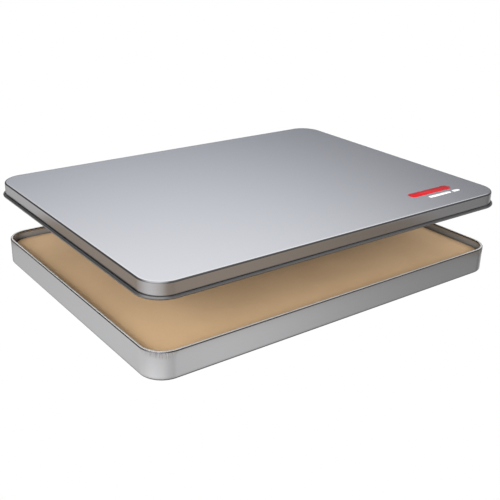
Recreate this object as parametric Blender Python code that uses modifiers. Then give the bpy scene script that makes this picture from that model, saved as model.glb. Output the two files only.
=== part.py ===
"""A flat metal pad tin: a drawn tray holding one full-size absorbent pad, and a slip-over lid.

Units are metres and +Z is up. The origin is the middle of the tray's underside, the length runs
along X and the width along Y. The lid is modelled lifted straight up off the tray. Its object sits
on the slide axis, so that moving it along Z lowers it over the tray's rim or raises it further.
"""
import math

import bmesh
import bpy
from mathutils import Vector

# Tray and sheet metal
TRAY_LENGTH = 0.340
TRAY_WIDTH = 0.252
TRAY_HEIGHT = 0.0222
TRAY_CORNER_RADIUS = 0.0182
SHEET = 0.0003
FLOOR_EDGE_RADIUS = 0.0020
RIM_ROLL_RADIUS = 0.0011
RIM_ROLL_END = 260.0

# Lid
LID_HEIGHT = 0.0122
LID_EDGE_RADIUS = 0.0014
LID_BEAD_RADIUS = 0.00115
LID_BEAD_END = 475.0
LID_FOOT_ABOVE_RIM = 0.0380

# Gap left between neighbouring pieces
GAP = 0.0003

# Pad: cloth wrapped over a felt core and turned under a stiff board
PAD_TOP = 0.0163
PAD_TO_RIM_ROLL = 0.0006
CLOTH = 0.0006
CLOTH_TOP_EDGE_RADIUS = 0.0020
CLOTH_HEM_EDGE_RADIUS = 0.0009
CLOTH_HEM_WIDTH = 0.0220
BOARD = 0.0030

# Double-sided tape between the board and the tray's floor
TAPE = 0.0008
TAPE_WIDTH = 0.025
TAPE_LENGTH = 0.180
TAPE_COUNT = 4
TAPE_PITCH = 0.070

# Steps on each rounded corner seen from above, and on each bend seen in section
CORNER_STEPS = 8
FLOOR_EDGE_STEPS = 4
RIM_ROLL_STEPS = 10
LID_EDGE_STEPS = 4
LID_BEAD_STEPS = 11
CLOTH_TOP_STEPS = 3
CLOTH_HEM_STEPS = 2
EASED_EDGE_STEPS = 2

# Angles, in degrees, above which an edge is shaded sharp or is eased
SHARP_ANGLE = 35.0
EASED_ANGLE = 60.0

# Heights and outlines that follow from the sizes above
TAPE_BOTTOM = SHEET + GAP
BOARD_BOTTOM = TAPE_BOTTOM + TAPE + GAP
HEM_BOTTOM = BOARD_BOTTOM - GAP - CLOTH
FELT_BOTTOM = BOARD_BOTTOM + BOARD + GAP
FELT_TOP = PAD_TOP - CLOTH - GAP
PAD_INSET = 2 * RIM_ROLL_RADIUS + PAD_TO_RIM_ROLL
CORE_INSET = PAD_INSET + CLOTH + GAP
LID_FOOT = TRAY_HEIGHT + LID_FOOT_ABOVE_RIM


def clear_scene():
    """Remove every object that the file already holds."""
    for item in list(bpy.data.objects):
        bpy.data.objects.remove(item, do_unlink=True)


def srgb(red, green, blue):
    """A display colour, 0 to 255 a channel, as the linear colour that a shader takes."""
    def linear(channel):
        value = channel / 255
        return value / 12.92 if value <= 0.04045 else ((value + 0.055) / 1.055) ** 2.4
    return (linear(red), linear(green), linear(blue), 1.0)


def make_material(name, colour, roughness, metallic=0.0):
    """A Principled material in one colour."""
    material = bpy.data.materials.new(name)
    material.use_nodes = True
    shader = material.node_tree.nodes["Principled BSDF"]
    shader.inputs["Base Color"].default_value = colour
    shader.inputs["Roughness"].default_value = roughness
    shader.inputs["Metallic"].default_value = metallic
    material.diffuse_color = colour
    return material


def arc(centre_inset, centre_height, radius, start, end, steps):
    """Points of an arc in a wall's section as (inset, height) pairs.

    An angle of 0 degrees points outward and 90 degrees points up. Insets grow towards the middle.
    """
    points = []
    for step in range(steps + 1):
        angle = math.radians(start + (end - start) * step / steps)
        inset = centre_inset - radius * math.cos(angle)
        height = centre_height + radius * math.sin(angle)
        points.append((inset, height))
    return points


def rounded_face(mesh, length, width, corner_radius, inset, height):
    """Add a flat rounded rectangle, inset from the given outline, and return its face."""
    grid = bmesh.ops.create_grid(mesh, x_segments=1, y_segments=1, size=1.0)
    half_size = Vector((length / 2 - inset, width / 2 - inset, 1.0))
    bmesh.ops.scale(mesh, vec=half_size, verts=grid["verts"])
    bmesh.ops.translate(mesh, vec=(0.0, 0.0, height), verts=grid["verts"])
    bmesh.ops.bevel(
        mesh, geom=grid["verts"], offset=corner_radius - inset, segments=CORNER_STEPS,
        profile=0.5, affect="VERTICES")
    return max(mesh.faces, key=lambda face: len(face.verts))


def extend_wall(mesh, length, width, corner_radius, profile):
    """Extrude the open border ring by ring along a wall section's (inset, height) pairs."""
    centre_x = length / 2 - corner_radius
    centre_y = width / 2 - corner_radius
    for inset, height in profile:
        border = [edge for edge in mesh.edges if edge.is_boundary]
        grown = bmesh.ops.extrude_edge_only(mesh, edges=border)["geom"]
        for vert in grown:
            if not isinstance(vert, bmesh.types.BMVert):
                continue
            centre = Vector((
                math.copysign(centre_x, vert.co.x), math.copysign(centre_y, vert.co.y), vert.co.z))
            outward = (vert.co - centre).normalized()
            vert.co = centre + outward * (corner_radius - inset)
            vert.co.z = height


def add_object(name, mesh, material, collection):
    """Turn a bmesh into a smooth-shaded object in the part's collection."""
    data = bpy.data.meshes.new(name)
    mesh.to_mesh(data)
    mesh.free()
    data.shade_smooth()
    data.set_sharp_from_angle(angle=math.radians(SHARP_ANGLE))
    data.materials.append(material)
    item = bpy.data.objects.new(name, data)
    collection.objects.link(item)
    return item


def add_thickness(item, thickness):
    """Thicken an open sheet on the side away from its normals."""
    solidify = item.modifiers.new("Sheet", "SOLIDIFY")
    solidify.thickness = thickness
    solidify.offset = -1.0
    solidify.use_even_offset = True
    solidify.use_quality_normals = True


def formed_sheet(name, outline, profile, faces_up, thickness, material, collection):
    """A sheet formed from one flat rounded panel, whose edge is turned along a section."""
    length, width, corner_radius = outline
    mesh = bmesh.new()
    inset, height = profile[0]
    panel = rounded_face(mesh, length, width, corner_radius, inset, height)
    if (panel.normal.z > 0.0) != faces_up:
        bmesh.ops.reverse_faces(mesh, faces=[panel])
    extend_wall(mesh, length, width, corner_radius, profile[1:])
    item = add_object(name, mesh, material, collection)
    add_thickness(item, thickness)
    return item


def rounded_slab(name, outline, inset, bottom, top, edge_radius, material, collection):
    """A flat board or felt with rounded corners and eased edges."""
    length, width, corner_radius = outline
    mesh = bmesh.new()
    rounded_face(mesh, length, width, corner_radius, inset, top)
    item = add_object(name, mesh, material, collection)
    add_thickness(item, top - bottom)
    bevel = item.modifiers.new("Eased edges", "BEVEL")
    bevel.width = edge_radius
    bevel.segments = EASED_EDGE_STEPS
    bevel.limit_method = "ANGLE"
    bevel.angle_limit = math.radians(EASED_ANGLE)
    return item


def make_tray(outline, material, collection):
    """The drawn tray: flat floor, upright wall and a rim rolled inward."""
    floor_edge = arc(
        FLOOR_EDGE_RADIUS, FLOOR_EDGE_RADIUS, FLOOR_EDGE_RADIUS, -90.0, 0.0, FLOOR_EDGE_STEPS)
    rim_roll = arc(
        RIM_ROLL_RADIUS, TRAY_HEIGHT - RIM_ROLL_RADIUS, RIM_ROLL_RADIUS, 0.0, RIM_ROLL_END,
        RIM_ROLL_STEPS)
    return formed_sheet(
        "tray_shell", outline, floor_edge + rim_roll, False, SHEET, material, collection)


def make_lid(outline, material, collection):
    """The slip-over lid, drawn from its inner face: flat panel, skirt and a foot rolled outward."""
    inner_edge_radius = LID_EDGE_RADIUS - SHEET
    inner_top = LID_HEIGHT - SHEET
    panel_edge = arc(
        inner_edge_radius, inner_top - inner_edge_radius, inner_edge_radius, 90.0, 0.0, LID_EDGE_STEPS)
    bead = arc(
        -LID_BEAD_RADIUS, LID_BEAD_RADIUS, LID_BEAD_RADIUS, 180.0, LID_BEAD_END, LID_BEAD_STEPS)
    length, width, corner_radius = outline
    inner_outline = (length + 2 * GAP, width + 2 * GAP, corner_radius + GAP)
    lid = formed_sheet(
        "lid_shell", inner_outline, panel_edge + bead, False, SHEET, material, collection)
    lid.location = (0.0, 0.0, LID_FOOT)
    return lid


def make_cloth(outline, material, collection):
    """The pad's cover: flat top, sides, and a hem turned under the board all round."""
    top_edge = arc(
        PAD_INSET + CLOTH_TOP_EDGE_RADIUS, PAD_TOP - CLOTH_TOP_EDGE_RADIUS,
        CLOTH_TOP_EDGE_RADIUS, 90.0, 0.0, CLOTH_TOP_STEPS)
    hem_edge = arc(
        PAD_INSET + CLOTH_HEM_EDGE_RADIUS, HEM_BOTTOM + CLOTH_HEM_EDGE_RADIUS,
        CLOTH_HEM_EDGE_RADIUS, 0.0, -90.0, CLOTH_HEM_STEPS)
    hem_end = [(PAD_INSET + CLOTH_HEM_WIDTH, HEM_BOTTOM)]
    return formed_sheet(
        "pad_cloth", outline, top_edge + hem_edge + hem_end, True, CLOTH, material, collection)


def make_tapes(material, collection):
    """Parallel strips of double-sided tape that hold the board to the tray's floor."""
    first = -TAPE_PITCH * (TAPE_COUNT - 1) / 2
    for number in range(TAPE_COUNT):
        bpy.ops.mesh.primitive_cube_add(
            size=1.0, location=(first + TAPE_PITCH * number, 0.0, TAPE_BOTTOM + TAPE / 2),
            scale=(TAPE_WIDTH, TAPE_LENGTH, TAPE))
        strip = bpy.context.active_object
        strip.name = f"tape_strip_{number + 1}"
        strip.data.name = strip.name
        strip.data.materials.append(material)
        for holder in list(strip.users_collection):
            holder.objects.unlink(strip)
        collection.objects.link(strip)


def build():
    """Model every piece of the tin."""
    clear_scene()
    collection = bpy.data.collections.new("pad_tin")
    bpy.context.scene.collection.children.link(collection)

    tinplate = make_material("tinplate", srgb(178, 179, 183), roughness=0.35, metallic=1.0)
    lid_steel = make_material("lid_steel", srgb(186, 188, 193), roughness=0.30, metallic=1.0)
    cloth = make_material("tan_cloth", srgb(193, 164, 130), roughness=0.95)
    felt = make_material("felt", srgb(214, 206, 190), roughness=0.95)
    fibreboard = make_material("fibreboard", srgb(122, 92, 62), roughness=0.80)
    tape = make_material("foam_tape", srgb(232, 231, 226), roughness=0.60)

    tray_outline = (TRAY_LENGTH, TRAY_WIDTH, TRAY_CORNER_RADIUS)
    make_tray(tray_outline, tinplate, collection)
    make_lid(tray_outline, lid_steel, collection)
    make_cloth(tray_outline, cloth, collection)
    rounded_slab(
        "felt_core", tray_outline, CORE_INSET, FELT_BOTTOM, FELT_TOP,
        CLOTH_TOP_EDGE_RADIUS, felt, collection)
    rounded_slab(
        "backing_board", tray_outline, CORE_INSET, BOARD_BOTTOM, BOARD_BOTTOM + BOARD,
        CLOTH_HEM_EDGE_RADIUS, fibreboard, collection)
    make_tapes(tape, collection)


build()
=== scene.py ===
"""The looks of a flat metal pad tin: tinplate tray and lid, cloth-covered pad and printed marks.

Everything is in metres in the frame's own coordinates, +Z up. Sizes come from the frame's boxes and
from the few named lengths below. The tray and the pad ride on body "tray", the lid on body "lid".
"""

import math

import bmesh
import bpy
import numpy as np
from mathutils import Matrix, Vector


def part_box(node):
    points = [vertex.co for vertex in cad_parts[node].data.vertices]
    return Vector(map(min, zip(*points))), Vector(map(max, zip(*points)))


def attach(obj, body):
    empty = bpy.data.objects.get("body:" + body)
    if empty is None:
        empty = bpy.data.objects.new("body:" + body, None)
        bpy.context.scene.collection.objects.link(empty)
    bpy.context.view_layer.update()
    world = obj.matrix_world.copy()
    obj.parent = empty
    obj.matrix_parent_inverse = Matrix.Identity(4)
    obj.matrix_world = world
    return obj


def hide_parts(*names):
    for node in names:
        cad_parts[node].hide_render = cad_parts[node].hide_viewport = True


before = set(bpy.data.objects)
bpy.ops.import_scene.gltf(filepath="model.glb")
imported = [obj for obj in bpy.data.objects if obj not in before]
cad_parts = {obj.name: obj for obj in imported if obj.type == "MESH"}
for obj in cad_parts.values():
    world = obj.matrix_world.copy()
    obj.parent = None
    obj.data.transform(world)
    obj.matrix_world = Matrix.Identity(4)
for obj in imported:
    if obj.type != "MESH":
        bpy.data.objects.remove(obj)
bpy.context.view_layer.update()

# ---------------------------------------------------------------------------- sizes from the frame
tray_low, tray_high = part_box("tray_shell")
lid_low, lid_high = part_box("lid_shell")
pad_low, pad_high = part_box("pad_cloth")
TRAY_LENGTH = tray_high.x - tray_low.x
TRAY_WIDTH = tray_high.y - tray_low.y
TRAY_HEIGHT = tray_high.z

# ------------------------------------------------------------------------------- sheet-metal sizes
# The rolls end at angles in degrees, 0 outward and 90 up
SHEET = 0.0003
SLIP_GAP = 0.0003
CORNER_RADIUS = 0.0182
FLOOR_EDGE_RADIUS = 0.0020
RIM_ROLL_RADIUS = 0.0011
RIM_ROLL_END = 260.0
LID_EDGE_RADIUS = 0.0014
LID_BEAD_RADIUS = 0.00115
LID_BEAD_END = 475.0

# How finely the sheets are divided: round the corners, along the sides, over the panel, in section
TRAY_CORNER_STEPS = 110
LID_CORNER_STEPS = 40
SIDE_PITCH = 0.006
PANEL_RINGS = 16
PANEL_MARGIN = 0.0006
BEND_STEPS = 8
RIM_ROLL_STEPS = 20
LID_BEAD_STEPS = 24
TRAY_WALL_STEPS = 14
LID_SKIRT_STEPS = 8

# Dents that gather the rim round the corners: depth, how far they lean inward, how far down they
# reach and fade, and the share, pitch and phase of the two waves that make them uneven
CRIMP_DEPTH = 0.00026
CRIMP_LEAN = 0.8
CRIMP_REACH = 0.0060
CRIMP_FADE = 0.0035
CRIMP_WAVES = [(1.0, 0.00135, 0.0), (0.6, 0.00213, 1.3)]

# --------------------------------------------------------------------------------- the pad's sizes
# The cloth is built short of its final place by its swell and then blown up. It stands out past the
# CAD cloth by its bulge. Underneath, only a hem is left: inside it, what is lower than the hem's
# height is cut away.
PAD_SWELL = 0.0007
PAD_BULGE = 0.0016
PAD_CORNER_RADIUS = 0.0163
PAD_EDGE_RADIUS = 0.0015
PAD_HEM = 0.0220
PAD_HEM_HEIGHT = 0.0030
PAD_SHEET = 0.0005
PAD_GRID = 0.0045
PAD_EDGE_STEPS = 4
PAD_SIDE_STEPS = 3
PAD_PRESSURE = 4.0
CLOTH_STIFFNESS = 4.0
CLOTH_QUALITY = 6
CLOTH_FRAMES = 20
MERGE_DISTANCE = 0.00001

# --------------------------------------------------------------------------- the lid's printed bars
# Sizes along the length and the width, and places in from the right and the front of the panel
INK = 0.00004
INK_CLEARANCE = 0.00002
INK_ROUNDING = 0.45
INK_CORNER_STEPS = 10
INK_SIDE_PITCH = 0.02
RED_BAR = (0.0480, 0.0085)
RED_BAR_PLACE = (0.0535, 0.0315)
LONG_WHITE_BAR = (0.0260, 0.0036)
LONG_WHITE_PLACE = (0.0520, 0.0215)
SHORT_WHITE_BAR = (0.0080, 0.0036)
SHORT_WHITE_PLACE = (0.0320, 0.0215)


# -------------------------------------------------------------------------------------- geometry
def outline(length, width, radius, corner_steps, side_pitch):
    """A rounded rectangle's points: arc centres, outward directions, arc length, corner weight."""
    centres, directions, weights = [], [], []
    far_x = length / 2 - radius
    far_y = width / 2 - radius
    corners = [(far_x, far_y, 0), (-far_x, far_y, 90), (-far_x, -far_y, 180), (far_x, -far_y, 270)]
    for number, (x, y, start) in enumerate(corners):
        for step in range(corner_steps + 1):
            share = step / corner_steps
            angle = math.radians(start + 90 * share)
            centres.append((x, y))
            directions.append((math.cos(angle), math.sin(angle)))
            weights.append(math.sin(math.pi * share) ** 0.5)
        next_x, next_y, _ = corners[(number + 1) % 4]
        side = math.hypot(next_x - x, next_y - y)
        pieces = max(1, round(side / side_pitch))
        for step in range(1, pieces):
            share = step / pieces
            centres.append((x + (next_x - x) * share, y + (next_y - y) * share))
            directions.append(directions[-1])
            weights.append(0.0)
    centres = np.array(centres)
    directions = np.array(directions)
    edge = centres + directions * radius
    steps = np.linalg.norm(np.diff(edge, axis=0, append=edge[:1]), axis=1)
    travel = np.concatenate(([0.0], np.cumsum(steps)[:-1]))
    return {
        "centres": centres, "directions": directions, "radius": radius,
        "travel": travel, "corner": np.array(weights)}


def ring(path, inset, height, push=0.0):
    """The outline's points at one inset and height, moved outward by push."""
    reach = path["radius"] - inset + push
    flat = path["centres"] + path["directions"] * np.reshape(reach, (-1, 1))
    return np.column_stack((flat, np.full(len(flat), height)))


def arc(centre_inset, centre_height, radius, start, end, steps):
    """Points of an arc in a wall's section; 0 degrees points outward and 90 degrees up."""
    angles = np.radians(np.linspace(start, end, steps + 1))
    insets = centre_inset - radius * np.cos(angles)
    heights = centre_height + radius * np.sin(angles)
    return list(zip(insets, heights))


def line(start, end, steps):
    """Evenly spaced section points from start to end, without start."""
    shares = [step / steps for step in range(1, steps + 1)]
    return [tuple(a + (b - a) * share for a, b in zip(start, end)) for share in shares]


def new_object(name, vertices, faces, material):
    """A smooth-shaded mesh object in the scene."""
    mesh = bpy.data.meshes.new(name)
    mesh.from_pydata([tuple(vertex) for vertex in vertices], [], faces)
    mesh.validate()
    mesh.shade_smooth()
    mesh.materials.append(material)
    item = bpy.data.objects.new(name, mesh)
    bpy.context.scene.collection.objects.link(item)
    return item


def formed_sheet(name, path, profile, materials, push=None):
    """A sheet whose flat panel is turned at its edge along a section, thickened behind its normals.

    materials are those of the modelled side and of the far side. push gives each point's small
    outward shift from its travel, corner weight, inset and height.
    """
    count = len(path["travel"])
    profile = [(profile[0][0] + PANEL_MARGIN, profile[0][1])] + profile
    vertices = [(0.0, 0.0, profile[0][1])]
    first = ring(path, *profile[0])
    for number in range(1, PANEL_RINGS):
        share = number / PANEL_RINGS
        vertices.extend(first * (share, share, 1.0))
    for inset, height in profile:
        shift = push(path["travel"], path["corner"], inset, height) if push else 0.0
        vertices.extend(ring(path, inset, height, shift))
    faces = []
    rings = PANEL_RINGS - 1 + len(profile)
    for index in range(count):
        after = (index + 1) % count
        faces.append((1 + after, 1 + index, 0))
        for row in range(rings - 1):
            low = 1 + row * count
            high = low + count
            faces.append((low + after, high + after, high + index, low + index))
    item = new_object(name, vertices, faces, materials[0])
    item.data.materials.append(materials[1])
    solidify = item.modifiers.new("Sheet", "SOLIDIFY")
    solidify.thickness = SHEET
    solidify.offset = -1.0
    solidify.use_even_offset = True
    solidify.material_offset = 1
    return item


# ------------------------------------------------------------------------------------- materials
def srgb(red, green, blue):
    """A display colour, 0 to 255 a channel, as a linear RGBA colour."""
    values = []
    for channel in (red, green, blue):
        value = channel / 255
        values.append(value / 12.92 if value <= 0.04045 else ((value + 0.055) / 1.055) ** 2.4)
    return (*values, 1.0)


class Nodes:
    """A node tree with short calls for the nodes that the materials and the studio use."""

    def __init__(self, tree):
        self.tree = tree

    def node(self, kind, **settings):
        made = self.tree.nodes.new(kind)
        for key, value in settings.items():
            setattr(made, key, value)
        return made

    def link(self, source, target):
        self.tree.links.new(source, target)

    def put(self, socket, value):
        """Set a socket to a value, or link an output to it."""
        if isinstance(value, bpy.types.NodeSocket):
            self.link(value, socket)
        else:
            socket.default_value = value

    def place(self, scale=(1.0, 1.0, 1.0)):
        """Object coordinates, stretched by scale."""
        coordinates = self.node("ShaderNodeTexCoord")
        mapping = self.node("ShaderNodeMapping")
        mapping.inputs["Scale"].default_value = scale
        self.link(coordinates.outputs["Object"], mapping.inputs["Vector"])
        return mapping.outputs["Vector"]

    def noise(self, vector, scale, detail=2.0, roughness=0.5):
        made = self.node("ShaderNodeTexNoise")
        self.link(vector, made.inputs["Vector"])
        made.inputs["Scale"].default_value = scale
        made.inputs["Detail"].default_value = detail
        made.inputs["Roughness"].default_value = roughness
        return made.outputs["Fac"]

    def split(self, vector):
        """A vector's X, Y and Z."""
        made = self.node("ShaderNodeSeparateXYZ")
        self.link(vector, made.inputs[0])
        return made.outputs

    def ramp(self, value, low, high, start=0.0, end=1.0):
        """Map value from start..end to low..high, held at both ends."""
        made = self.node("ShaderNodeMapRange")
        self.put(made.inputs["Value"], value)
        made.inputs["From Min"].default_value = start
        made.inputs["From Max"].default_value = end
        self.put(made.inputs["To Min"], low)
        self.put(made.inputs["To Max"], high)
        return made.outputs["Result"]

    def math(self, operation, first, second=0.0):
        made = self.node("ShaderNodeMath", operation=operation)
        self.put(made.inputs[0], first)
        self.put(made.inputs[1], second)
        return made.outputs[0]

    def mix(self, factor, first, second):
        """Blend two colours."""
        made = self.node("ShaderNodeMix", data_type="RGBA")
        self.put(made.inputs[0], factor)
        self.put(made.inputs[6], first)
        self.put(made.inputs[7], second)
        return made.outputs[2]

    def curve(self, value, points):
        """Map value through (position, level) points, positions from -1 to 1, with straight runs."""
        made = self.node("ShaderNodeValToRGB")
        self.link(self.ramp(value, 0.0, 1.0, -1.0, 1.0), made.inputs[0])
        stops = made.color_ramp.elements
        while len(stops) < len(points):
            stops.new(1.0)
        for stop, (position, level) in zip(stops, points):
            stop.position = (position + 1.0) / 2
            stop.color = (level, level, level, 1.0)
        return made.outputs["Color"]

    def vector(self, operation, first, second=(0.0, 0.0, 0.0)):
        """Vector arithmetic; a length or a dot product comes out as a number."""
        made = self.node("ShaderNodeVectorMath", operation=operation)
        self.put(made.inputs[0], first)
        self.put(made.inputs[1], second)
        return made.outputs["Value" if operation in ("LENGTH", "DOT_PRODUCT") else "Vector"]

    def scaled(self, vector, factor):
        """A vector or a colour times a number."""
        made = self.node("ShaderNodeVectorMath", operation="SCALE")
        self.put(made.inputs[0], vector)
        self.put(made.inputs["Scale"], factor)
        return made.outputs["Vector"]

    def bump(self, height, strength, distance, normal=None):
        made = self.node("ShaderNodeBump")
        self.link(height, made.inputs["Height"])
        made.inputs["Strength"].default_value = strength
        made.inputs["Distance"].default_value = distance
        if normal is not None:
            self.link(normal, made.inputs["Normal"])
        return made.outputs["Normal"]


class Shader(Nodes):
    """A new material's node tree, with its Principled surface."""

    def __init__(self, name):
        self.material = bpy.data.materials.new(name)
        self.material.use_nodes = True
        super().__init__(self.material.node_tree)
        self.surface = self.tree.nodes["Principled BSDF"]

    def finish(self, **inputs):
        """Set the surface's inputs, written with underscores for spaces, and return the material."""
        for key, value in inputs.items():
            self.put(self.surface.inputs[key.replace("_", " ")], value)
        return self.material


# Where most of a noise's values lie, how far grain moves the roughness, and the fibres in a clump
NOISE_SPAN = (0.3, 0.7)
ROUGHNESS_SPREAD = 0.01
FIBRES_PER_CLUMP = 12

# How deep each grain is pressed, as the distance of its bump
TIN_RELIEF = 0.00002
RIB_RELIEF = 0.00010
FUZZ_RELIEF = 0.00015
FIBRE_RELIEF = 0.0003
INK_RELIEF = 0.00002

# Tinplate where it is rubbed or lacquered, and the colour of painted dark lines: painted dark
# reflection on turned edges and painted shade in the lid's crease. Round the corners the painted line
# fades, from one distance inside the tray's ends to another, which takes away most of it.
WORN_TIN = (0.55, 0.54, 0.52, 1.0)
DULL_LACQUER = (0.35, 0.335, 0.315, 1.0)
PAINTED_LINE_COLOUR = (0.11, 0.108, 0.105, 1.0)
MATT_ROUGHNESS = 0.45
MATT_METALLIC = 0.4
FINISH_BLEND = 0.00005
LINE_FADE_START = 0.0135
LINE_FADE_FULL = 0.0075
LINE_FADE_SHARE = 0.8

# The cloth's ribs and the width of the painted shade along its border. A wave texture at scale 1 runs
# through WAVE_RADIANS a metre.
WAVE_RADIANS = 20.0
RIB_PITCH = 0.00377
CLOTH_SHADE_BORDER = 0.008


def step_up(shader, value, level):
    """0 below a level and 1 above it, over a short blend."""
    return shader.ramp(value, 0.0, 1.0, level - FINISH_BLEND, level + FINISH_BLEND)


def painted_line_mask(shader, axes, low, high):
    """Where a painted dark line goes: 1 between two heights, less round the corners, and 0 elsewhere.
    """
    band = shader.math("MULTIPLY", step_up(shader, axes["Z"], low),
                       shader.math("SUBTRACT", 1.0, step_up(shader, axes["Z"], high)))
    corner = LINE_FADE_SHARE
    for axis, half in (("X", TRAY_LENGTH / 2), ("Y", TRAY_WIDTH / 2)):
        reach = shader.math("ABSOLUTE", axes[axis])
        near_end = shader.ramp(reach, 0.0, 1.0, half - LINE_FADE_START, half - LINE_FADE_FULL)
        corner = shader.math("MULTIPLY", near_end, corner)
    return shader.math("MULTIPLY", band, shader.math("SUBTRACT", 1.0, corner))


def tinplate(name, colour, roughness, streak_depth=0.0, matt=None, painted_line=None):
    """Satin tinplate: rolling grain along the length, fine speckle, level brushing on the walls.

    matt is a colour and the height from which the metal is dull, as where a rim has been rubbed.
    The last is the two heights between which the tin is painted dark: painted shade and dark
    reflection.
    """
    shader = Shader(name)
    grain = shader.noise(shader.place((0.35, 1.0, 1.0)), 2600.0, roughness=0.6)
    brushing = shader.noise(shader.place((0.0, 0.0, 1.0)), 1900.0, detail=3.0, roughness=0.7)
    speckle = shader.noise(shader.place(), 5200.0, detail=1.0)
    axes = shader.split(shader.place())
    streak = shader.ramp(brushing, 1.0 - streak_depth, 1.0 + streak_depth, *NOISE_SPAN)
    base = shader.scaled(colour, streak)
    uneven = shader.ramp(grain, -ROUGHNESS_SPREAD, ROUGHNESS_SPREAD, *NOISE_SPAN)
    rough = shader.math("ADD", uneven, roughness)
    metallic = 1.0
    # Painted dark line: a dark colour between two heights, in place of dark reflections and shade.
    if painted_line:
        base = shader.mix(painted_line_mask(shader, axes, *painted_line), base, PAINTED_LINE_COLOUR)
    if matt:
        matt_colour, height = matt
        worn = step_up(shader, axes["Z"], height)
        base = shader.mix(worn, base, matt_colour)
        rough = shader.ramp(worn, rough, MATT_ROUGHNESS)
        metallic = shader.ramp(worn, 1.0, MATT_METALLIC)
    fine = shader.bump(grain, 0.03, TIN_RELIEF)
    fine = shader.bump(speckle, 0.04, TIN_RELIEF, fine)
    fine = shader.bump(brushing, 0.08, TIN_RELIEF, fine)
    return shader.finish(Base_Color=base, Metallic=metallic, Roughness=rough, Normal=fine)


def woven_cloth(name, colour, dark, border, half_size):
    """Cotton with nap: faint crossed ribs, fuzz, clouds and painted shade darkening its border."""
    shader = Shader(name)
    place = shader.place()
    waves = []
    for axis in ("X", "Y"):
        wave = shader.node("ShaderNodeTexWave", wave_type="BANDS", bands_direction=axis)
        wave.inputs["Scale"].default_value = 2 * math.pi / (WAVE_RADIANS * RIB_PITCH)
        wave.inputs["Distortion"].default_value = 1.2
        wave.inputs["Detail"].default_value = 2.0
        wave.inputs["Detail Scale"].default_value = 1.5
        shader.link(place, wave.inputs["Vector"])
        waves.append(wave.outputs["Fac"])
    ribs = shader.math("MAXIMUM", waves[0], waves[1])
    fuzz = shader.noise(place, 1500.0, detail=4.0, roughness=0.7)
    cloud = shader.noise(place, 22.0, detail=4.0, roughness=0.55)
    base = shader.mix(shader.ramp(cloud, 0.0, 0.35, 0.42, 0.72), colour, dark)
    base = shader.mix(shader.ramp(fuzz, 0.0, 0.25, 0.45, 0.75), base, dark)
    axes = shader.split(place)
    margins = []
    for axis, half in zip(("X", "Y"), half_size):
        distance = shader.math("ABSOLUTE", axes[axis])
        margins.append(shader.math("SUBTRACT", half, distance))
    margin = shader.math("MINIMUM", margins[0], margins[1])
    # Painted shade: the colour darkens towards the border, in place of shade near the tray's rim.
    base = shader.mix(shader.ramp(margin, 0.35, 0.0, 0.0, CLOTH_SHADE_BORDER), base, border)
    fine = shader.bump(ribs, 0.2, RIB_RELIEF)
    fine = shader.bump(fuzz, 0.5, FUZZ_RELIEF, fine)
    return shader.finish(
        Base_Color=base, Roughness=0.95, Sheen_Weight=0.08, Sheen_Roughness=0.6, Normal=fine)


def fibrous(name, colour, dark, scale, roughness=0.95, stretch=(1.0, 1.0, 1.0)):
    """Pressed fibres, for the felt and the hardboard."""
    shader = Shader(name)
    fibres = shader.noise(shader.place(stretch), scale, detail=5.0, roughness=0.7)
    clumps = shader.noise(shader.place(), scale / FIBRES_PER_CLUMP, detail=3.0)
    base = shader.mix(shader.ramp(fibres, 0.0, 1.0, 0.35, 0.7), dark, colour)
    base = shader.mix(shader.ramp(clumps, 0.0, 0.4, 0.4, 0.7), base, dark)
    return shader.finish(
        Base_Color=base, Roughness=roughness, Normal=shader.bump(fibres, 0.6, FIBRE_RELIEF))


def printed_ink(name, colour, dark):
    """Screen-printed ink: nearly flat, with a slight gloss and fine mottling."""
    shader = Shader(name)
    mottle = shader.noise(shader.place(), 1800.0, detail=3.0)
    base = shader.mix(shader.ramp(mottle, 0.0, 0.3, 0.5, 0.8), colour, dark)
    return shader.finish(
        Base_Color=base, Roughness=0.5, Specular_IOR_Level=0.25,
        Normal=shader.bump(mottle, 0.2, INK_RELIEF))


# The worn top of the rim, and the heights painted dark: on the rim's outer side and the lid's upper
# edge as painted dark reflection lines, and on the seam above the lid's bead as painted shade
RIM_WORN = tray_high.z - 0.00021
RIM_PAINTED_LINE = (tray_high.z - 0.00108, RIM_WORN)
LID_EDGE_PAINTED_LINE = (lid_high.z - 0.00130, lid_high.z - 0.00018)
BEAD_SEAM_PAINTED_SHADE = (lid_low.z + 1.4 * LID_BEAD_RADIUS, lid_low.z + 2 * LID_BEAD_RADIUS + SHEET)

TRAY_METAL = tinplate(
    "tray_tinplate", (0.60, 0.60, 0.61), 0.22, 0.015, matt=(WORN_TIN, RIM_WORN), painted_line=RIM_PAINTED_LINE)
LID_METAL = tinplate("lid_tinplate", (0.60, 0.60, 0.605), 0.20, 0.035, painted_line=LID_EDGE_PAINTED_LINE)
# The lid's inner face, which also shows round its outward-rolled bead, is a darker copy of the lid's
# tinplate: painted shade.
SHADED_LID_INSIDE = tinplate("lid_inside_painted_shade", (0.36, 0.35, 0.34), 0.28, painted_line=BEAD_SEAM_PAINTED_SHADE)
TRAY_INSIDE = tinplate("tray_inside", (0.60, 0.60, 0.60), 0.45, matt=(DULL_LACQUER, 0.0))
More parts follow.
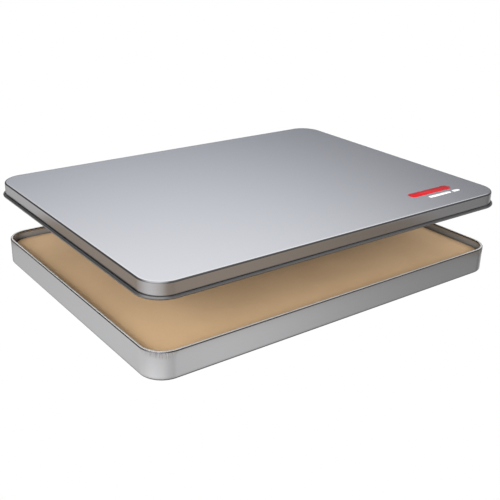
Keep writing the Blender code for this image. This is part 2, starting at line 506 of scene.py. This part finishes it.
# The cloth's colour, its darker random tone, and the colour of the painted shade along its border.
PAD_CLOTH = woven_cloth(
    "pad_cloth", srgb(195, 162, 121), srgb(174, 140, 98), srgb(142, 110, 76),
    (pad_high.x, pad_high.y))
FELT = fibrous("felt", srgb(222, 214, 198), srgb(178, 168, 148), 700.0)
HARDBOARD = fibrous("hardboard", srgb(133, 101, 69), srgb(92, 66, 42), 900.0, 0.75, (0.4, 1.0, 1.0))
FOAM_TAPE = fibrous("foam_tape", srgb(236, 235, 230), srgb(208, 206, 198), 1600.0, 0.65)
RED_INK = printed_ink("red_ink", srgb(184, 10, 24), srgb(158, 6, 18))
WHITE_INK = printed_ink("white_ink", srgb(244, 244, 244), srgb(214, 215, 218))


# ------------------------------------------------------------------------------------ the pieces
def rim_crimps(travel, corner, inset, height):
    """Small upright dents, mostly inward, where the rolled rim is gathered round the corners."""
    fade = np.clip((height - tray_high.z + CRIMP_REACH) / CRIMP_FADE, 0.0, 1.0)
    turn = 2 * math.pi * travel
    waves = sum(share * np.sin(turn / pitch + phase) for share, pitch, phase in CRIMP_WAVES)
    return CRIMP_DEPTH * (waves - CRIMP_LEAN) * corner ** 1.5 * fade ** 2


def make_tray():
    """The tray: rounded floor edge, upright wall, inward-rolled rim with crimped corners."""
    path = outline(TRAY_LENGTH, TRAY_WIDTH, CORNER_RADIUS, TRAY_CORNER_STEPS, SIDE_PITCH)
    floor_edge = arc(FLOOR_EDGE_RADIUS, FLOOR_EDGE_RADIUS, FLOOR_EDGE_RADIUS, -90.0, 0.0, BEND_STEPS)
    roll_centre = TRAY_HEIGHT - RIM_ROLL_RADIUS
    roll = arc(RIM_ROLL_RADIUS, roll_centre, RIM_ROLL_RADIUS, 0.0, RIM_ROLL_END, RIM_ROLL_STEPS)
    wall = line(floor_edge[-1], roll[0], TRAY_WALL_STEPS)
    profile = floor_edge + wall + roll[1:]
    tray = formed_sheet("tray_tin", path, profile, (TRAY_METAL, TRAY_INSIDE), push=rim_crimps)
    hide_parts("tray_shell")
    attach(tray, "tray")


def make_lid():
    """The lid, from its inner face: panel, rounded edge, skirt and outward-rolled foot."""
    path = outline(
        TRAY_LENGTH + 2 * SLIP_GAP, TRAY_WIDTH + 2 * SLIP_GAP, CORNER_RADIUS + SLIP_GAP,
        LID_CORNER_STEPS, SIDE_PITCH)
    inner_radius = LID_EDGE_RADIUS - SHEET
    inner_top = lid_high.z - SHEET
    bead_centre = lid_low.z + LID_BEAD_RADIUS
    panel_edge = arc(inner_radius, inner_top - inner_radius, inner_radius, 90.0, 0.0, BEND_STEPS)
    bead = arc(-LID_BEAD_RADIUS, bead_centre, LID_BEAD_RADIUS, 180.0, LID_BEAD_END, LID_BEAD_STEPS)
    skirt = line(panel_edge[-1], bead[0], LID_SKIRT_STEPS)
    profile = panel_edge + skirt + bead[1:]
    # The inner face and the bead take the darker tinplate, painted shade; the outer face takes the
    # plain one.
    lid = formed_sheet("lid_tin", path, profile, (SHADED_LID_INSIDE, LID_METAL))
    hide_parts("lid_shell")
    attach(lid, "lid")


def rounded_block(name, low, high, radius, material):
    """A closed block with rounded upright corners."""
    path = outline(high.x - low.x, high.y - low.y, radius, INK_CORNER_STEPS, INK_SIDE_PITCH)
    middle = ((low.x + high.x) / 2, (low.y + high.y) / 2, 0.0)
    bottom = ring(path, 0.0, low.z) + middle
    top = ring(path, 0.0, high.z) + middle
    count = len(bottom)
    faces = [tuple(range(count, 2 * count)), tuple(range(count - 1, -1, -1))]
    for index in range(count):
        after = (index + 1) % count
        faces.append((index, after, count + after, count + index))
    return new_object(name, np.vstack((bottom, top)), faces, material)


def apply_modifiers(item):
    """Replace an object's mesh by its evaluated one and drop its modifiers."""
    evaluated = item.evaluated_get(bpy.context.evaluated_depsgraph_get())
    mesh = bpy.data.meshes.new_from_object(evaluated)
    item.modifiers.clear()
    item.data = mesh


def inflate(item, pressure, cap):
    """Blow an object up as cloth, with no point moving further than cap from its start."""
    scene = bpy.context.scene
    start = np.array([vertex.co for vertex in item.data.vertices])
    cloth = item.modifiers.new("Cloth", "CLOTH")
    settings = cloth.settings
    settings.use_pressure = True
    settings.uniform_pressure_force = pressure
    settings.effector_weights.gravity = 0.0
    settings.quality = CLOTH_QUALITY
    settings.bending_stiffness = CLOTH_STIFFNESS
    cloth.point_cache.frame_start = 1
    cloth.point_cache.frame_end = CLOTH_FRAMES
    scene.frame_start = 1
    scene.frame_end = CLOTH_FRAMES
    for number in range(1, CLOTH_FRAMES + 1):
        scene.frame_set(number)
    apply_modifiers(item)
    moved = np.array([vertex.co for vertex in item.data.vertices]) - start
    length = np.linalg.norm(moved, axis=1, keepdims=True)
    moved *= np.minimum(1.0, cap / np.maximum(length, 1e-9))
    item.data.vertices.foreach_set("co", (start + moved).astype(np.float32).ravel())
    item.data.update()
    scene.frame_set(1)


def rounded_corner(x, y, half_x, half_y, radius):
    """Move a point of a rectangle's corner square so that the square corner becomes an arc."""
    across = max(0.0, abs(x) - (half_x - radius)) / radius
    along = max(0.0, abs(y) - (half_y - radius)) / radius
    shift_x = across * (1.0 - math.sqrt(1.0 - along * along / 2)) * radius
    shift_y = along * (1.0 - math.sqrt(1.0 - across * across / 2)) * radius
    return x - math.copysign(shift_x, x), y - math.copysign(shift_y, y)


def pad_form(name, half_x, half_y, bottom, top):
    """A closed pad: an even grid above and below, joined by a side with rounded edges."""
    radius = PAD_EDGE_RADIUS
    inner_x = half_x - radius
    inner_y = half_y - radius
    inner_radius = PAD_CORNER_RADIUS - radius
    far_x = half_x - PAD_CORNER_RADIUS
    far_y = half_y - PAD_CORNER_RADIUS
    mesh = bmesh.new()
    cells_x = round(2 * half_x / PAD_GRID)
    cells_y = round(2 * half_y / PAD_GRID)
    bmesh.ops.create_grid(mesh, x_segments=cells_x, y_segments=cells_y, size=1.0)
    for vert in mesh.verts:
        x, y = vert.co.x * inner_x, vert.co.y * inner_y
        vert.co = (*rounded_corner(x, y, inner_x, inner_y, inner_radius), top)
    upper = arc(radius, top - radius, radius, 90.0, 0.0, PAD_EDGE_STEPS)
    lower = arc(radius, bottom + radius, radius, 0.0, -90.0, PAD_EDGE_STEPS)
    section = upper[1:] + line(upper[-1], lower[0], PAD_SIDE_STEPS) + lower[1:]
    for inset, height in section:
        border = [edge for edge in mesh.edges if edge.is_boundary]
        grown = bmesh.ops.extrude_edge_only(mesh, edges=border)["geom"]
        for vert in grown:
            if isinstance(vert, bmesh.types.BMVert):
                x, y, z = vert.co
                centre = Vector((
                    math.copysign(min(abs(x), far_x), x), math.copysign(min(abs(y), far_y), y), z))
                outward = (vert.co - centre).normalized()
                vert.co = centre + outward * (PAD_CORNER_RADIUS - inset)
                vert.co.z = height
    first_bottom = len(mesh.verts)
    grid_faces = [
        face for face in mesh.faces
        if all(abs(vert.co.z - top) < MERGE_DISTANCE for vert in face.verts)]
    copied = bmesh.ops.duplicate(mesh, geom=grid_faces)["geom"]
    mesh.verts.ensure_lookup_table()
    for vert in mesh.verts[first_bottom:]:
        vert.co.z = bottom
    copied_faces = [face for face in copied if isinstance(face, bmesh.types.BMFace)]
    bmesh.ops.reverse_faces(mesh, faces=copied_faces)
    bmesh.ops.remove_doubles(mesh, verts=mesh.verts, dist=MERGE_DISTANCE)
    bmesh.ops.recalc_face_normals(mesh, faces=mesh.faces)
    data = bpy.data.meshes.new(name)
    mesh.to_mesh(data)
    mesh.free()
    data.materials.append(PAD_CLOTH)
    item = bpy.data.objects.new(name, data)
    bpy.context.scene.collection.objects.link(item)
    return item


def open_below(item, half_x, half_y, bottom):
    """Cut away the cloth inside the hem that is turned under the board."""
    mesh = bmesh.new()
    mesh.from_mesh(item.data)
    reach_x = half_x - PAD_HEM
    reach_y = half_y - PAD_HEM
    middle = [
        vert for vert in mesh.verts
        if abs(vert.co.x) < reach_x and abs(vert.co.y) < reach_y
        and vert.co.z < bottom + PAD_HEM_HEIGHT]
    bmesh.ops.delete(mesh, geom=middle, context="VERTS")
    mesh.to_mesh(item.data)
    mesh.free()


def make_pad():
    """The pad's cloth cover: crowned by pressure, then opened underneath inside its turned hem."""
    half_x = pad_high.x + PAD_BULGE - PAD_SWELL
    half_y = pad_high.y + PAD_BULGE - PAD_SWELL
    bottom = pad_low.z + PAD_SWELL
    top = pad_high.z - PAD_SWELL
    cover = pad_form("pad_cover", half_x, half_y, bottom, top)
    inflate(cover, PAD_PRESSURE, PAD_SWELL)
    open_below(cover, half_x, half_y, bottom)
    solidify = cover.modifiers.new("Cloth thickness", "SOLIDIFY")
    solidify.thickness = PAD_SHEET
    solidify.offset = -1.0
    subdivision = cover.modifiers.new("Smooth", "SUBSURF")
    subdivision.levels = 1
    subdivision.render_levels = 1
    apply_modifiers(cover)
    cover.data.shade_smooth()
    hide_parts("pad_cloth")
    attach(cover, "tray")


def printed_mark(name, place, size, material):
    """A flat rounded bar of ink on the lid's panel, its centre in from the right and the front."""
    centre = Vector((
        lid_high.x - LID_BEAD_RADIUS * 2 - place[0], lid_low.y + LID_BEAD_RADIUS * 2 + place[1],
        lid_high.z + INK_CLEARANCE + INK / 2))
    half = Vector((size[0], size[1], INK)) / 2
    mark = rounded_block(name, centre - half, centre + half, min(size) * INK_ROUNDING, material)
    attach(mark, "lid")


def make_marks():
    """Plain printed bars near the lid's right front corner, in place of lettering."""
    printed_mark("red_bar", RED_BAR_PLACE, RED_BAR, RED_INK)
    printed_mark("white_bar_long", LONG_WHITE_PLACE, LONG_WHITE_BAR, WHITE_INK)
    printed_mark("white_bar_short", SHORT_WHITE_PLACE, SHORT_WHITE_BAR, WHITE_INK)


def dress_inner_parts():
    """Give the pieces inside the pad their own finishes."""
    finishes = {"felt_core": FELT, "backing_board": HARDBOARD}
    for number in range(1, 5):
        finishes[f"tape_strip_{number}"] = FOAM_TAPE
    for node, material in finishes.items():
        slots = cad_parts[node].data.materials
        slots.clear()
        slots.append(material)


# ------------------------------------------------------------------------------------- the studio
# The camera, in degrees, metres and, for the lens and its sensor, millimetres
VIEW_AZIMUTH = -37.4
VIEW_ELEVATION = 23.0
VIEW_ROLL = 1.7
VIEW_DISTANCE = 0.7335
VIEW_LENS = 57.9
SENSOR_WIDTH = 36.0
CLIP_RANGE = (0.01, 50.0)
VIEW_TARGET = Vector((0.0186, 0.0222, 0.0))
FLOOR_LEVEL = -0.0002
FLOOR_HALF = 8.0

# What metal mirrors. The floor's glow runs by compass direction, in half turns from the camera,
# left positive, and by the steepness of the view. The sky's runs by the sine of its height, beyond
# the tin, on the camera's side and in the key light there.
FLOOR_GLOW = [
    (-1.0, 0.60), (-0.75, 0.55), (-0.62, 0.22), (-0.50, 0.31), (-0.46, 0.46), (-0.42, 0.81),
    (-0.395, 0.93), (-0.37, 0.80), (-0.30, 0.70), (-0.25, 0.74), (-0.15, 0.82), (-0.05, 0.88),
    (0.23, 0.88), (0.45, 0.80), (0.63, 0.88), (0.68, 0.60), (0.80, 0.42), (1.0, 0.60)]
FLOOR_STEEPNESS = [(0.0, 0.6), (0.25, 1.0), (0.50, 1.0), (0.68, 0.55), (0.85, 0.30), (1.0, 0.30)]
FAR_SKY = [
    (-0.2, 0.5), (0.0, 0.12), (0.20, 0.12), (0.25, 0.17), (0.28, 0.37), (0.31, 0.47), (0.34, 0.57),
    (0.42, 0.76), (0.60, 1.0), (0.85, 0.8), (1.0, 0.7)]
NEAR_SKY = [(-0.2, 0.5), (0.0, 0.15), (0.15, 0.4), (0.35, 0.6), (0.70, 0.7)]
KEY_SKY = [(-0.2, 0.5), (0.0, 0.15), (0.2, 0.4), (0.5, 0.70)]

# The far sky sags to both sides of SKY_CENTRE and is down to LOW_SKY_SHARE below LOW_SKY_HEIGHTS.
# FAR_SIDE is where the near sky gives way to it, TINT_HEIGHTS where the low colour gives way to the
# high one. SKY_STRENGTH is for reflections and AMBIENT for diffuse light.
SKY_CENTRE = 0.09
SKY_SAG = 0.60
LOW_SKY_SHARE = 0.5
LOW_SKY_HEIGHTS = (0.20, 0.27)
FAR_SIDE = (0.05, 0.35)
LOW_SKY_COLOUR = (0.965, 1.020, 1.155, 1.0)
HIGH_SKY_COLOUR = (0.985, 0.990, 1.015, 1.0)
TINT_HEIGHTS = (0.26, 0.46)
SKY_STRENGTH = 1.5
AMBIENT = 0.98
WHITE = (1.0, 1.0, 1.0, 1.0)
FLOOR_PAINT = (0.93, 0.93, 0.93, 1.0)

# The key light's direction, in degrees left of the camera, how closely a view must agree with it to
# be in it, on the floor and in the sky, and how much brighter the floor is there near the tray
KEY_TURN = 40.0
KEY_ON_FLOOR = (0.35, 1.0)
KEY_IN_SKY = (0.45, 0.65)
POOL_NEAR = 0.40
POOL_FAR = 0.02
POOL_REACH = 0.04

# Softboxes: name, azimuth and elevation in degrees, distance and size in metres, watts
SOFTBOXES = [
    ("key_softbox", -58.0, 22.0, 1.1, 0.4, 7.2),
    ("side_softbox", -105.0, 20.0, 1.1, 0.6, 4.6),
    ("fill_softbox", 20.0, 19.0, 1.1, 0.6, 8.0)]

# A lid that hovers just over the tan pad mirrors it in its skirt. The floor further than
# WARM_START from the tray stands for that, up to the limits along +X and +Y and away from the key.
WARM_COLOUR = (0.425, 0.355, 0.295)
FAR_COLOUR = (0.89, 0.87, 0.875, 1.0)
WARM_START = 0.030
WARM_FULL = 0.055
WARM_LIMITS = (0.215, 0.200)
WARM_BLEND = 0.015
WARM_EVENNESS = 0.6


def make_camera():
    """The camera, above and to the front left of the tin."""
    azimuth = math.radians(VIEW_AZIMUTH)
    elevation = math.radians(VIEW_ELEVATION)
    roll = math.radians(VIEW_ROLL)
    back = Vector((
        math.sin(azimuth) * math.cos(elevation), -math.cos(azimuth) * math.cos(elevation),
        math.sin(elevation)))
    right = Vector((math.cos(azimuth), math.sin(azimuth), 0.0))
    up = back.cross(right)
    turned_right = right * math.cos(roll) + up * math.sin(roll)
    turned_up = up * math.cos(roll) - right * math.sin(roll)
    turn = Matrix((turned_right, turned_up, back)).transposed().to_4x4()
    data = bpy.data.cameras.new("camera")
    data.lens = VIEW_LENS
    data.sensor_width = SENSOR_WIDTH
    data.clip_start, data.clip_end = CLIP_RANGE
    camera = bpy.data.objects.new("camera", data)
    camera.matrix_world = Matrix.Translation(VIEW_TARGET + back * VIEW_DISTANCE) @ turn
    bpy.context.scene.collection.objects.link(camera)
    bpy.context.scene.camera = camera


def level_directions():
    """Level unit vectors away from the camera and to its left."""
    turn = math.radians(VIEW_AZIMUTH)
    away = Vector((-math.sin(turn), math.cos(turn), 0.0))
    left = Vector((-math.cos(turn), -math.sin(turn), 0.0))
    return away, left


def key_direction():
    """The level direction of the key light, to the left of the camera."""
    away, left = level_directions()
    turn = math.radians(KEY_TURN)
    return left * math.sin(turn) - away * math.cos(turn)


def tray_distance(nodes, position):
    """Level distance from the tray's rounded outline."""
    half = (TRAY_LENGTH / 2 - CORNER_RADIUS, TRAY_WIDTH / 2 - CORNER_RADIUS, 0.0)
    level = nodes.vector("MULTIPLY", position, (1.0, 1.0, 0.0))
    beyond = nodes.vector("SUBTRACT", nodes.vector("ABSOLUTE", level), half)
    beyond = nodes.vector("MAXIMUM", beyond)
    return nodes.math("SUBTRACT", nodes.vector("LENGTH", beyond), CORNER_RADIUS)


def floor_glow(nodes):
    """The floor that metal mirrors, as an emission node."""
    geometry = nodes.node("ShaderNodeNewGeometry")
    position = geometry.outputs["Position"]
    away, left = level_directions()
    incoming = geometry.outputs["Incoming"]
    leftward = nodes.vector("DOT_PRODUCT", incoming, -left)
    nearward = nodes.vector("DOT_PRODUCT", incoming, away)
    compass = nodes.math("MULTIPLY", nodes.math("ARCTAN2", leftward, nearward), 1 / math.pi)
    steepness = nodes.vector("DOT_PRODUCT", incoming, (0.0, 0.0, 1.0))
    level = nodes.math(
        "MULTIPLY", nodes.curve(compass, FLOOR_GLOW), nodes.curve(steepness, FLOOR_STEEPNESS))

    heading = nodes.vector("NORMALIZE", nodes.vector("MULTIPLY", incoming, (-1.0, -1.0, 0.0)))
    agreement = nodes.vector("DOT_PRODUCT", heading, key_direction())
    in_key = nodes.ramp(agreement, 0.0, 1.0, *KEY_ON_FLOOR)
    distance = tray_distance(nodes, position)
    pool = nodes.ramp(distance, POOL_NEAR, POOL_FAR, 0.0, POOL_REACH)
    pool = nodes.math("MULTIPLY", in_key, pool)
    level = nodes.math("MULTIPLY", level, nodes.math("ADD", pool, 1.0))

    axes = nodes.split(position)
    far = nodes.ramp(distance, 0.0, 1.0, WARM_START, WARM_FULL)
    warmth = nodes.math("MULTIPLY", far, nodes.math("SUBTRACT", 1.0, in_key))
    for axis, limit in zip(("X", "Y"), WARM_LIMITS):
        held = nodes.ramp(axes[axis], 1.0, 0.0, limit - WARM_BLEND, limit + WARM_BLEND)
        warmth = nodes.math("MULTIPLY", warmth, held)
    plain = nodes.scaled(nodes.mix(far, WHITE, FAR_COLOUR), level)
    warm = nodes.scaled(WARM_COLOUR, nodes.math("POWER", level, WARM_EVENNESS))
    glow = nodes.node("ShaderNodeEmission")
    nodes.link(nodes.mix(warmth, plain, warm), glow.inputs["Color"])
    return glow


def make_floor():
    """White to the camera, pale in diffuse light, a graded glow in reflections, clear from below."""
    shader = Shader("floor")
    shader.finish(Base_Color=FLOOR_PAINT, Roughness=0.9)
    glow = floor_glow(shader)
    white = shader.node("ShaderNodeEmission")
    path = shader.node("ShaderNodeLightPath")
    surface = shader.surface.outputs[0]
    for kind, emission in (("Is Glossy Ray", glow), ("Is Camera Ray", white)):
        choose = shader.node("ShaderNodeMixShader")
        shader.link(path.outputs[kind], choose.inputs[0])
        shader.link(surface, choose.inputs[1])
        shader.link(emission.outputs[0], choose.inputs[2])
        surface = choose.outputs[0]
    one_sided = shader.node("ShaderNodeMixShader")
    shader.link(shader.node("ShaderNodeNewGeometry").outputs["Backfacing"], one_sided.inputs[0])
    shader.link(surface, one_sided.inputs[1])
    shader.link(shader.node("ShaderNodeBsdfTransparent").outputs[0], one_sided.inputs[2])
    shader.link(one_sided.outputs[0], shader.tree.nodes["Material Output"].inputs["Surface"])
    corners = [(-1, -1), (1, -1), (1, 1), (-1, 1)]
    places = [(x * FLOOR_HALF, y * FLOOR_HALF, FLOOR_LEVEL) for x, y in corners]
    floor = new_object("floor", places, [(0, 1, 2, 3)], shader.material)


def make_world():
    """White to the camera; in reflections, bright overhead and dim at the horizon and the sides."""
    world = bpy.data.worlds.new("studio")
    bpy.context.scene.world = world
    world.use_nodes = True
    nodes = Nodes(world.node_tree)
    background = world.node_tree.nodes["Background"]
    away, left = level_directions()
    direction = nodes.node("ShaderNodeTexCoord").outputs["Generated"]
    height = nodes.vector("DOT_PRODUCT", direction, (0.0, 0.0, 1.0))
    sideways = nodes.math("SUBTRACT", nodes.vector("DOT_PRODUCT", direction, left), SKY_CENTRE)
    sag = nodes.math("MULTIPLY", nodes.math("MULTIPLY", sideways, sideways), SKY_SAG)
    far_sky = nodes.curve(nodes.math("SUBTRACT", height, sag), FAR_SKY)
    low_share = nodes.ramp(height, LOW_SKY_SHARE, 1.0, *LOW_SKY_HEIGHTS)
    far_sky = nodes.math("MULTIPLY", far_sky, low_share)
    agreement = nodes.vector("DOT_PRODUCT", direction, key_direction())
    in_key = nodes.ramp(agreement, 0.0, 1.0, *KEY_IN_SKY)
    near_sky = nodes.mix(in_key, nodes.curve(height, NEAR_SKY), nodes.curve(height, KEY_SKY))
    side = nodes.ramp(nodes.vector("DOT_PRODUCT", direction, away), 0.0, 1.0, *FAR_SIDE)
    high = nodes.ramp(height, 0.0, 1.0, *TINT_HEIGHTS)
    tint = nodes.mix(high, LOW_SKY_COLOUR, HIGH_SKY_COLOUR)
    sky = nodes.vector("MULTIPLY", nodes.mix(side, near_sky, far_sky), tint)
    path = nodes.node("ShaderNodeLightPath")
    glossy = path.outputs["Is Glossy Ray"]
    nodes.link(nodes.mix(glossy, WHITE, sky), background.inputs["Color"])
    camera = path.outputs["Is Camera Ray"]
    strength = nodes.ramp(camera, AMBIENT, 1.0)
    nodes.link(nodes.ramp(glossy, strength, SKY_STRENGTH), background.inputs["Strength"])


def add_softbox(name, azimuth, elevation, distance, size, power):
    """A square area light that faces the tin and is left out of reflections."""
    data = bpy.data.lights.new(name, "AREA")
    data.shape = "SQUARE"
    data.size = size
    data.energy = power
    light = bpy.data.objects.new(name, data)
    turn = math.radians(azimuth)
    rise = math.radians(elevation)
    place = Vector((
        math.sin(turn) * math.cos(rise), -math.cos(turn) * math.cos(rise), math.sin(rise))) * distance
    light.location = place
    light.rotation_euler = place.to_track_quat("Z", "Y").to_euler()
    light.visible_glossy = False
    bpy.context.scene.collection.objects.link(light)


def make_studio():
    """Floor, surroundings, softboxes and a plain colour transform."""
    make_floor()
    make_world()
    for softbox in SOFTBOXES:
        add_softbox(*softbox)
    scene = bpy.context.scene
    scene.view_settings.view_transform = "Standard"
    scene.cycles.use_denoising = True


make_tray()
make_lid()
make_pad()
make_marks()
dress_inner_parts()
make_studio()
make_camera()
